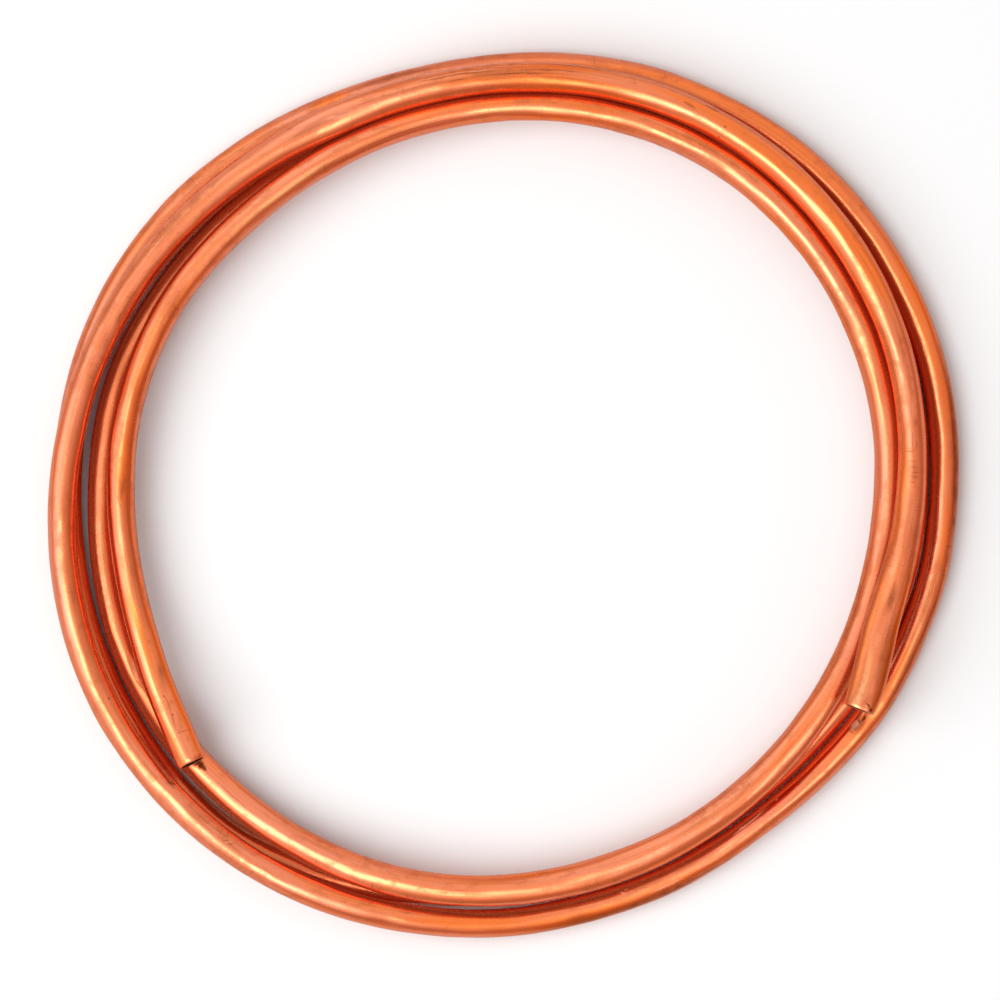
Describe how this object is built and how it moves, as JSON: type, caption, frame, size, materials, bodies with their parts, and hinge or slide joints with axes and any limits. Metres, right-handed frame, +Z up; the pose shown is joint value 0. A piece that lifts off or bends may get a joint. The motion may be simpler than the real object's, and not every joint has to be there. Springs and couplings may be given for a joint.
{
  "type": "copper tube coil",
  "caption": "Loose coil of soft round copper tube, wound by hand into several overlapping turns, with both cut ends open and an open eye.",
  "frame": {"origin": "under the middle of the coil's outline, on the floor it lies on", "axes": "+Z up, square to the plane the coil lies in; +X along the coil's slightly longer outline; the end on top of the pile is at about -31 degrees from +X and the inner end at about -139 degrees"},
  "size_m": [0.1912, 0.1862, 0.0171],
  "materials": {
    "copper": "bright drawn soft copper, satin to glossy, with fine draw lines and light brown tarnish"
  },
  "bodies": {
    "root": {"copper_tube": "copper"}
  },
  "joints": []
}
